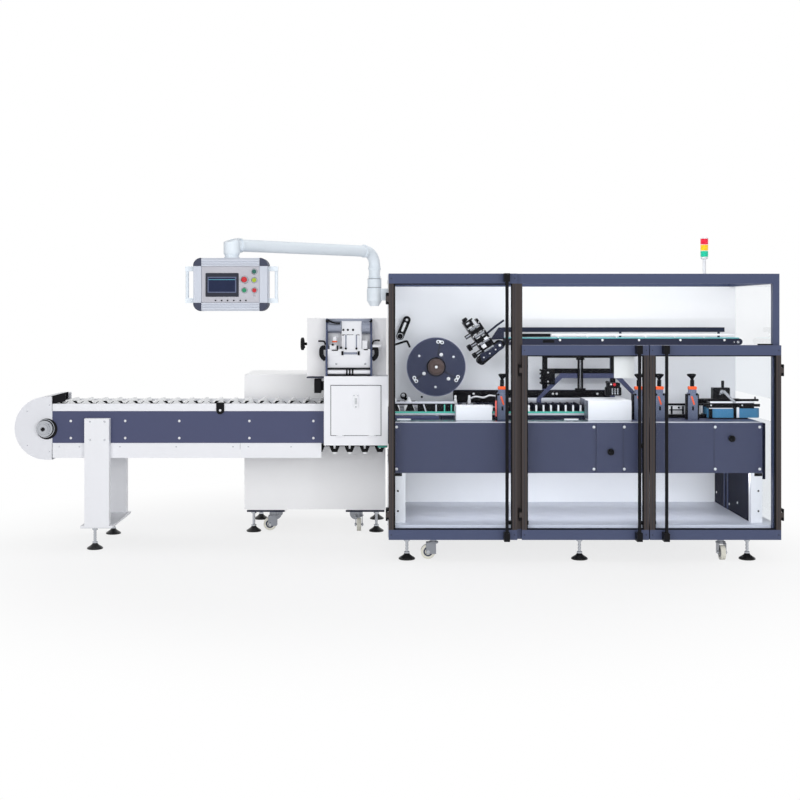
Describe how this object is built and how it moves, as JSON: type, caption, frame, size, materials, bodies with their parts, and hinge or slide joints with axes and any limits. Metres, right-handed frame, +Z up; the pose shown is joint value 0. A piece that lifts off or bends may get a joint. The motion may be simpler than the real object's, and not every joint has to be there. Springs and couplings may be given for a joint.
{
  "type": "automatic cartoner",
  "caption": "Cartoning machine with a glazed guard, a bucket chain infeed on a leg, a rear cabinet with a leaflet folder and an operator panel on a swing arm.",
  "frame": {"origin": "centre of the machine's floor rectangle, on the floor under the foot pads", "axes": "+X along the line towards the outfeed, +Y away from the operator side, +Z up"},
  "size_m": [4.74, 2.3881, 2],
  "materials": {
    "frame_paint": "satin powder coat",
    "stile_bronze": "bronze anodised",
    "white_paint": "satin powder coat",
    "blue_paint": "fine texture powder coat",
    "plate_paint": "fine texture powder coat",
    "reel_paint": "satin anodised",
    "clear_pane": "clear polycarbonate",
    "black_metal": "black powder coat",
    "foot_metal": "blackened pad and plated stem",
    "zinc": "zinc plated",
    "wheel_nylon": "cream nylon",
    "chain_plastic": "black plastic",
    "steel": "ground stainless steel",
    "lug_white": "white plastic",
    "belt_blue": "blue coated belt",
    "arm_paint": "pale grey coat",
    "panel_alu": "satin anodised",
    "tower_plastic": "moulded lenses on a white stem"
  },
  "bodies": {
    "machine": {"frame_posts": "frame_paint", "frame_beams": "frame_paint", "floor_plate": "white_paint", "rear_wall": "white_paint", "left_panels": "white_paint", "table_posts": "white_paint", "infeed_covers": "white_paint", "infeed_end_cover": "white_paint", "infeed_leg": "white_paint", "rear_cabinet": "white_paint", "folder_housing": "white_paint", "front_box": "white_paint", "cover_boxes": "white_paint", "table_body": "blue_paint", "table_panels": "blue_paint", "infeed_panels": "blue_paint", "upper_conveyor": "blue_paint", "gantry": "blue_paint", "table_plates": "plate_paint", "adjusters": "plate_paint", "right_panes": "clear_pane", "door_hinges": "black_metal", "label_unit": "black_metal", "outfeed_frame": "black_metal", "levelling_feet": "foot_metal", "caster_mounts": "zinc", "bucket_chain": "chain_plastic", "bucket_flights": "chain_plastic", "chain_shafts": "steel", "folder_head": "steel", "carton_track": "steel", "carton_lugs": "lug_white", "outfeed_belts": "belt_blue", "arm_bracket": "arm_paint", "signal_tower": "tower_plastic"},
    "left_door": {"left_door_stiles": "stile_bronze", "left_door_rails": "frame_paint", "left_door_pane": "clear_pane", "left_door_handle": "black_metal"},
    "middle_door": {"middle_door_stiles": "stile_bronze", "middle_door_rails": "frame_paint", "middle_door_pane": "clear_pane", "middle_door_handle": "black_metal"},
    "right_door": {"right_door_stiles": "stile_bronze", "right_door_rails": "frame_paint", "right_door_pane": "clear_pane", "right_door_handle": "black_metal"},
    "operator_arm": {"panel_arm": "arm_paint"},
    "operator_panel": {"panel_box": "panel_alu", "panel_grips": "arm_paint"},
    "reel": {"label_reel": "reel_paint"},
    "access_hatch": {"access_door": "white_paint"},
    "left_caster": {"left_caster_fork": "zinc"},
    "left_wheel": {"left_caster_wheel": "wheel_nylon"},
    "right_caster": {"right_caster_fork": "zinc"},
    "right_wheel": {"right_caster_wheel": "wheel_nylon"},
    "cabinet_left_caster": {"cabinet_left_caster_fork": "zinc"},
    "cabinet_left_wheel": {"cabinet_left_caster_wheel": "wheel_nylon"},
    "cabinet_right_caster": {"cabinet_right_caster_fork": "zinc"},
    "cabinet_right_wheel": {"cabinet_right_caster_wheel": "wheel_nylon"}
  },
  "joints": [
    {"name": "left_door_hinge", "type": "hinge", "parent": "machine", "child": "left_door", "pos_m": [-0.016, -0.40586, 0.9255], "axis": [0, 0, -1], "range_deg": [0, 110]},
    {"name": "middle_door_hinge", "type": "hinge", "parent": "machine", "child": "middle_door", "pos_m": [0.784, -0.40586, 0.71], "axis": [0, 0, -1], "range_deg": [0, 110]},
    {"name": "right_door_hinge", "type": "hinge", "parent": "machine", "child": "right_door", "pos_m": [2.364, -0.40586, 0.71], "axis": [0, 0, 1], "range_deg": [0, 110]},
    {"name": "arm_swing", "type": "hinge", "parent": "machine", "child": "operator_arm", "pos_m": [-0.09, -0.31086, 1.64], "axis": [0, 0, 1], "range_deg": [-45, 20]},
    {"name": "panel_turn", "type": "hinge", "parent": "operator_arm", "child": "operator_panel", "pos_m": [-0.86428, -1.08514, 1.812], "axis": [0, 0, 1], "range_deg": [-90, 90]},
    {"name": "reel_spin", "type": "hinge", "parent": "machine", "child": "reel", "pos_m": [0.307, 0.28914, 1.136], "axis": [0, 1, 0], "continuous": true},
    {"name": "access_hatch_hinge", "type": "hinge", "parent": "machine", "child": "access_hatch", "pos_m": [-0.206, -0.17886, 0.725], "axis": [1, 0, 0], "range_deg": [0, 100]},
    {"name": "left_caster_swivel", "type": "hinge", "parent": "machine", "child": "left_caster", "pos_m": [0.266, -0.35486, 0.1], "axis": [0, 0, 1], "continuous": true},
    {"name": "left_wheel_roll", "type": "hinge", "parent": "left_caster", "child": "left_wheel", "pos_m": [0.234, -0.35486, 0.048], "axis": [0, 1, 0], "continuous": true},
    {"name": "right_caster_swivel", "type": "hinge", "parent": "machine", "child": "right_caster", "pos_m": [2.002, -0.35486, 0.1], "axis": [0, 0, 1], "continuous": true},
    {"name": "right_wheel_roll", "type": "hinge", "parent": "right_caster", "child": "right_wheel", "pos_m": [2.002, -0.38686, 0.048], "axis": [1, 0, 0], "continuous": true},
    {"name": "cabinet_left_caster_swivel", "type": "hinge", "parent": "machine", "child": "cabinet_left_caster", "pos_m": [-0.779, 0.65914, 0.1], "axis": [0, 0, 1], "continuous": true},
    {"name": "cabinet_left_wheel_roll", "type": "hinge", "parent": "cabinet_left_caster", "child": "cabinet_left_wheel", "pos_m": [-0.811, 0.65914, 0.048], "axis": [0, 1, 0], "continuous": true},
    {"name": "cabinet_right_caster_swivel", "type": "hinge", "parent": "machine", "child": "cabinet_right_caster", "pos_m": [-0.203, 0.65914, 0.1], "axis": [0, 0, 1], "continuous": true},
    {"name": "cabinet_right_wheel_roll", "type": "hinge", "parent": "cabinet_right_caster", "child": "cabinet_right_wheel", "pos_m": [-0.203, 0.62714, 0.048], "axis": [1, 0, 0], "continuous": true}
  ]
}
